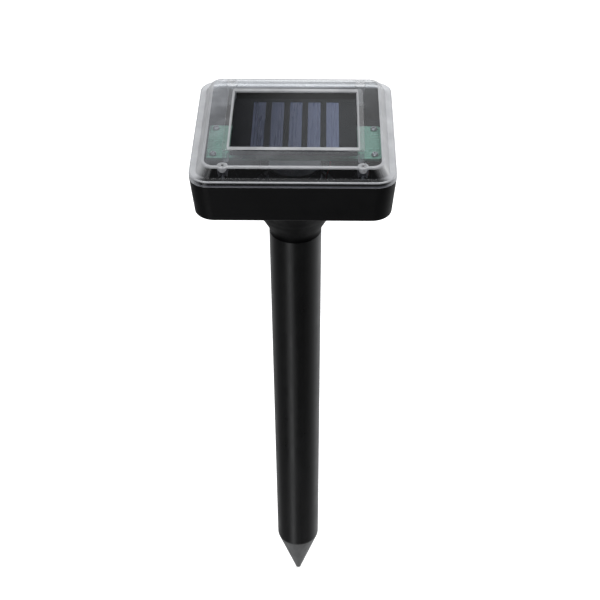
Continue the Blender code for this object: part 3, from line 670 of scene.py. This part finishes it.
def smoother():
    """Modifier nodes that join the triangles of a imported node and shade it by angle."""
    group = bpy.data.node_groups.new("shade_by_angle", "GeometryNodeTree")
    group.interface.new_socket(name="Geometry", in_out="INPUT", socket_type="NodeSocketGeometry")
    group.interface.new_socket(name="Geometry", in_out="OUTPUT", socket_type="NodeSocketGeometry")
    start = group.nodes.new("NodeGroupInput")
    end = group.nodes.new("NodeGroupOutput")
    plain = group.nodes.new("GeometryNodeRemoveAttribute")
    plain.inputs["Name"].default_value = "custom_normal"
    join = group.nodes.new("GeometryNodeMergeByDistance")
    join.inputs["Distance"].default_value = 0.000002
    faces = group.nodes.new("GeometryNodeSetShadeSmooth")
    faces.domain = "FACE"
    edges = group.nodes.new("GeometryNodeSetShadeSmooth")
    edges.domain = "EDGE"
    edges.inputs["Shade Smooth"].default_value = False
    angle = group.nodes.new("GeometryNodeInputMeshEdgeAngle")
    over = group.nodes.new("FunctionNodeCompare")
    over.operation = "GREATER_THAN"
    over.inputs[1].default_value = math.radians(33)
    links = group.links
    links.new(start.outputs[0], plain.inputs[0])
    links.new(plain.outputs[0], join.inputs[0])
    links.new(join.outputs[0], faces.inputs[0])
    links.new(faces.outputs[0], edges.inputs[0])
    links.new(angle.outputs[0], over.inputs[0])
    links.new(over.outputs[0], edges.inputs["Selection"])
    links.new(edges.outputs[0], end.inputs[0])
    return group


SMOOTH = smoother()


def dress(mat, *names):
    for n in names:
        o = nodes[n]
        o.data.materials.clear()
        o.data.materials.append(mat)
        m = o.modifiers.new("shade", "NODES")
        m.node_group = SMOOTH


def board_material():
    """Green solder mask over copper tracks."""
    g = Graph("board_mask")
    x, y, z = g.axes()
    tracks = g.add("ShaderNodeTexBrick")
    tracks.offset = 0.37
    tracks.inputs["Scale"].default_value = 95.0
    tracks.inputs["Mortar Size"].default_value = 0.05
    tracks.inputs["Color1"].default_value = (0.085, 0.215, 0.16, 1)
    tracks.inputs["Color2"].default_value = (0.10, 0.25, 0.185, 1)
    tracks.inputs["Mortar"].default_value = (0.07, 0.175, 0.13, 1)
    g.put(tracks.inputs["Vector"], g.where)
    cloud = g.noise(60.0)
    colour = g.mix(g.span(cloud, 0.3, 0.7, 0.0, 0.3), tracks.outputs[0], (0.14, 0.29, 0.225))
    return g.finish(
        g.principled(
            Base_Color=colour, Roughness=g.span(cloud, 0.3, 0.7, 0.25, 0.4), Normal=g.bump(tracks.outputs[1], 0.3, 0.0001)
        )
    )


def panel_material():
    g = Graph("panel_laminate")
    cloud = g.noise(45.0, 4.0)
    colour = g.ramp(cloud, [(0.3, (0.0016, 0.0016, 0.0021)), (0.7, (0.0034, 0.0034, 0.0042))])
    weave = g.math(
        "MULTIPLY",
        g.math("SINE", g.math("MULTIPLY", g.axes()[0], math.tau / 0.0011)),
        g.math("SINE", g.math("MULTIPLY", g.axes()[1], math.tau / 0.0011)),
    )
    return g.finish(
        g.principled(
            Base_Color=colour, Roughness=g.span(cloud, 0.3, 0.7, 0.06, 0.10), Specular_IOR_Level=0.05,
            Normal=g.bump(weave, 0.01, 0.00001),
        )
    )


def metal(name, dark, light, rough, brushed=(1.0, 1.0, 0.05), strength=0.12):
    g = Graph(name)
    streak = g.noise(900.0, 2.0, vector=g.scaled(brushed))
    colour = g.ramp(g.noise(120.0, 4.0), [(0.3, dark), (0.7, light)])
    gloss = g.span(streak, 0.3, 0.7, *rough)
    return g.finish(
        g.principled(Base_Color=colour, Roughness=gloss, Metallic=1.0, Normal=g.bump(streak, strength, 0.00004))
    )


def wrap_material():
    """The cell's printed sleeve: a plain pale sleeve with a darker band at the positive end."""
    g = Graph("cell_sleeve")
    x, y, z = g.axes()
    end = g.span(x, 0.0145, 0.0150, 0.0, 1.0, True)
    base = g.ramp(g.noise(90.0), [(0.3, (0.52, 0.54, 0.56)), (0.7, (0.60, 0.62, 0.64))])
    colour = g.mix(end, base, (0.10, 0.22, 0.16))
    tip = g.span(x, 0.0238, 0.0240, 0.0, 1.0)
    colour = g.mix(tip, colour, (0.58, 0.57, 0.54))
    return g.finish(
        g.principled(
            Base_Color=colour, Roughness=g.span(g.noise(200.0), 0.3, 0.7, 0.22, 0.34), Metallic=g.math("MULTIPLY", tip, 0.9),
            Normal=g.bump(g.noise(300.0), 0.05, 0.0001),
        )
    )


ZINC = metal("zinc_plate", (0.50, 0.51, 0.53), (0.66, 0.67, 0.69), (0.22, 0.38))
STEEL = metal("speaker_steel", (0.30, 0.31, 0.33), (0.44, 0.45, 0.47), (0.3, 0.48))
NICKEL = metal("nickel_strip", (0.58, 0.56, 0.52), (0.72, 0.70, 0.66), (0.18, 0.32))
COPPER = metal("coil_copper", (0.55, 0.24, 0.12), (0.75, 0.36, 0.20), (0.28, 0.42), (0.02, 0.02, 1.0), 0.4)
EPOXY = moulded("chip_epoxy", (0.010, 0.010, 0.011), (0.020, 0.020, 0.021), (0.45, 0.6), 0.4, 2500.0)
FERRITE = moulded("ferrite", (0.025, 0.025, 0.028), (0.05, 0.05, 0.054), (0.6, 0.8), 0.4, 1800.0, 0.0001, 0.4)
FOAM = moulded("grey_foam", (0.09, 0.09, 0.095), (0.17, 0.17, 0.18), (0.85, 0.95), 0.2, 1600.0, 0.0002, 0.6)
RUBBER = moulded("seal_rubber", (0.012, 0.012, 0.012), (0.022, 0.022, 0.022), (0.55, 0.75), 0.35, 1400.0)
PAPER = moulded("cone_paper", (0.030, 0.028, 0.025), (0.055, 0.052, 0.046), (0.75, 0.9), 0.2, 1100.0, 0.0001, 0.5)
TRAY = moulded("tray_black", (0.014, 0.014, 0.015), (0.024, 0.024, 0.026), (0.4, 0.55), 0.4, 1500.0)
SLEEVE = moulded("capacitor_sleeve", (0.02, 0.03, 0.09), (0.04, 0.055, 0.14), (0.25, 0.4), 0.5, 600.0)
RED_LEAD = moulded("lead_red", (0.42, 0.016, 0.014), (0.55, 0.03, 0.025), (0.35, 0.5), 0.5, 900.0)
BLACK_LEAD = moulded("lead_black", (0.010, 0.010, 0.010), (0.02, 0.02, 0.02), (0.35, 0.5), 0.5, 900.0)
BOND = clear("bond_silicone", 0.002, (0.8, 0.82, 0.86), rough=(0.04, 0.08), polish=0.06)

dress(BOND, "panel_bond_layer")
dress(panel_material(), "solar_panel_board")
dress(board_material(), "main_board")
dress(EPOXY, "control_chip", "driver_transistor", "power_switch")
dress(FERRITE, "boost_inductor", "speaker_magnet")
dress(SLEEVE, "storage_capacitor")
dress(ZINC, *[f"cover_screw_{i}" for i in range(1, 5)])
dress(STEEL, *[f"board_screw_{i}" for i in range(1, 5)], "speaker_frame", "speaker_plate", "speaker_yoke")
dress(NICKEL, "battery_plate_contact", "battery_spring_contact")
dress(COPPER, "voice_coil")
dress(PAPER, "speaker_cone")
dress(FOAM, "cover_gasket", "battery_tape", "speaker_gasket")
dress(RUBBER, "stake_seal_ring")
dress(TRAY, "battery_holder", "speaker_retainer")
dress(wrap_material(), "battery_cell")
dress(RED_LEAD, "battery_wire_red", "panel_wire_red", "speaker_wire_red")
dress(BLACK_LEAD, "battery_wire_black", "panel_wire_black", "speaker_wire_black")

# ---------------------------------------------------------------- the button's return spring

coil = bmesh.new()
TURNS, PER_TURN, SIDES = 4, 28, 10
rings = []
for k in range(TURNS * PER_TURN + 1):
    a = math.tau * k / PER_TURN
    out = Vector((math.cos(a), math.sin(a), 0.0))
    middle = out * 2.9 + Vector((0.0, 0.0, 4.2 + 5.9 * k / (TURNS * PER_TURN)))
    ring = []
    for i in range(SIDES):
        b = math.tau * i / SIDES
        ring.append(coil.verts.new(middle + (out * math.cos(b) + Vector((0.0, 0.0, math.sin(b)))) * 0.28))
    rings.append(ring)
for a, b in zip(rings, rings[1:]):
    skin(coil, a, b, 0)
coil.faces.new(rings[0][::-1])
coil.faces.new(rings[-1])
spring = place("spring_coil", coil, [ZINC], (BUTTON.x, BUTTON.y, DEEP))
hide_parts("button_spring")
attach(spring, "head")
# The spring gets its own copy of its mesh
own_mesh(spring)

# ---------------------------------------------------------------- light, floor, camera


def world():
    w = bpy.data.worlds.new("studio")
    scene.world = w
    w.use_nodes = True
    nt = w.node_tree
    nt.nodes.clear()
    out = nt.nodes.new("ShaderNodeOutputWorld")
    where = nt.nodes.new("ShaderNodeTexCoord").outputs["Generated"]
    xyz = nt.nodes.new("ShaderNodeSeparateXYZ")
    nt.links.new(where, xyz.inputs[0])
    x, y, z = xyz.outputs

    def put(socket, v):
        if isinstance(v, bpy.types.NodeSocket):
            nt.links.new(v, socket)
        else:
            socket.default_value = v

    def calc(op, a, b=0.0):
        n = nt.nodes.new("ShaderNodeMath")
        n.operation = op
        put(n.inputs[0], a)
        put(n.inputs[1], b)
        return n.outputs[0]

    def span(v, a, b, lo, hi):
        n = nt.nodes.new("ShaderNodeMapRange")
        n.interpolation_type = "SMOOTHSTEP"
        for i, q in enumerate((v, a, b, lo, hi)):
            put(n.inputs[i], q)
        return n.outputs[0]

    turn_ = calc("ADD", calc("DIVIDE", calc("ARCTAN2", x, calc("MULTIPLY", y, -1.0)), math.tau), 0.5)
    ring = nt.nodes.new("ShaderNodeValToRGB")
    stops = [
        (-180, 0.75), (-150, 0.55), (-122, 0.40), (-100, 0.14), (-60, 0.10), (-40, 0.10), (-32, 1.7), (-20, 1.7),
        (-11, 0.09), (0, 0.07), (36, 0.06), (54, 0.09), (74, 0.20), (98, 0.55), (125, 0.95), (180, 0.75),
    ]
    while len(ring.color_ramp.elements) < len(stops):
        ring.color_ramp.elements.new(0.5)
    for e, (deg, v) in zip(ring.color_ramp.elements, stops):
        e.position = 0.5 + deg / 360
        e.color = (v, v, v, 1.0)
    put(ring.inputs[0], turn_)
    side = calc("MULTIPLY", ring.outputs[0], 1.0)
    # straight up: a wide soft ceiling; straight down: the pale floor; low at the back: dark left, bright right
    up = span(z, 0.62, 0.95, 0.0, 1.0)
    down = span(z, -0.97, -0.80, 1.0, 0.0)
    back = calc("MULTIPLY", span(y, 0.45, 0.75, 0.0, 1.0), span(z, 0.15, 0.4, 0.0, 1.0))
    level = calc("ADD", calc("MULTIPLY", side, calc("SUBTRACT", 1.0, back)), calc("MULTIPLY", back, span(x, -0.075, 0.0, 0.03, 1.0)))
    level = calc("ADD", calc("MULTIPLY", level, calc("SUBTRACT", 1.0, up)), calc("MULTIPLY", up, 1.3))
    level = calc("ADD", calc("MULTIPLY", level, calc("SUBTRACT", 1.0, down)), calc("MULTIPLY", down, 1.0))
    light = nt.nodes.new("ShaderNodeBackground")
    put(light.inputs["Strength"], level)
    light.inputs["Color"].default_value = (0.97, 0.985, 1.0, 1.0)
    plain = nt.nodes.new("ShaderNodeBackground")
    plain.inputs["Color"].default_value = (1.0, 1.0, 1.0, 1.0)
    plain.inputs["Strength"].default_value = 1.0
    path = nt.nodes.new("ShaderNodeLightPath")
    mix = nt.nodes.new("ShaderNodeMixShader")
    put(mix.inputs[0], path.outputs["Is Camera Ray"])
    put(mix.inputs[1], light.outputs[0])
    put(mix.inputs[2], plain.outputs[0])
    put(out.inputs["Surface"], mix.outputs[0])


world()


def floor():
    g = Graph("floor_pale")
    tone = g.ramp(g.noise(2.0), [(0.3, (0.60, 0.60, 0.60)), (0.7, (0.62, 0.62, 0.62))])
    shader = g.principled(
        Base_Color=tone, Roughness=0.9, Specular_IOR_Level=0.1, Emission_Color=(1.0, 1.0, 1.0), Emission_Strength=0.72
    )
    mat = g.finish(shader)
    bm = bmesh.new()
    bmesh.ops.create_grid(bm, x_segments=1, y_segments=1, size=6.0)
    mesh = bpy.data.meshes.new("floor")
    bm.to_mesh(mesh)
    bm.free()
    mesh.materials.append(mat)
    obj = bpy.data.objects.new("floor", mesh)
    scene.collection.objects.link(obj)
    obj.visible_glossy = False
    obj.visible_transmission = True


floor()


def area(name, loc, target, w, h, power):
    data = bpy.data.lights.new(name, "AREA")
    data.shape = "RECTANGLE"
    data.size, data.size_y = w, h
    data.energy = power
    obj = bpy.data.objects.new(name, data)
    obj.location = loc
    obj.rotation_euler = (Vector(target) - Vector(loc)).to_track_quat("-Z", "Y").to_euler()
    scene.collection.objects.link(obj)
    return obj


area("ceiling", (-0.15, 0.25, 1.7), (0, 0, 0.3), 1.5, 1.3, 16.0)
area("side_right", (1.1, 0.5, 0.7), (0, 0, 0.25), 0.5, 1.2, 5.0)

data = bpy.data.cameras.new("camera")
data.lens = 84.6
data.sensor_width = 36.0
data.shift_x = -0.0395
data.clip_start, data.clip_end = 0.05, 20.0
camera = bpy.data.objects.new("camera", data)
camera.location = (0.018168, -0.738152, 0.814769)
camera.rotation_euler = (Matrix.Rotation(math.radians(52.866), 3, "X") @ Matrix.Rotation(0.006, 3, "Z")).to_euler()
scene.collection.objects.link(camera)
scene.camera = camera

scene.view_settings.view_transform = "Standard"
scene.view_settings.look = "None"
scene.cycles.max_bounces = 16
scene.cycles.transparent_max_bounces = 32
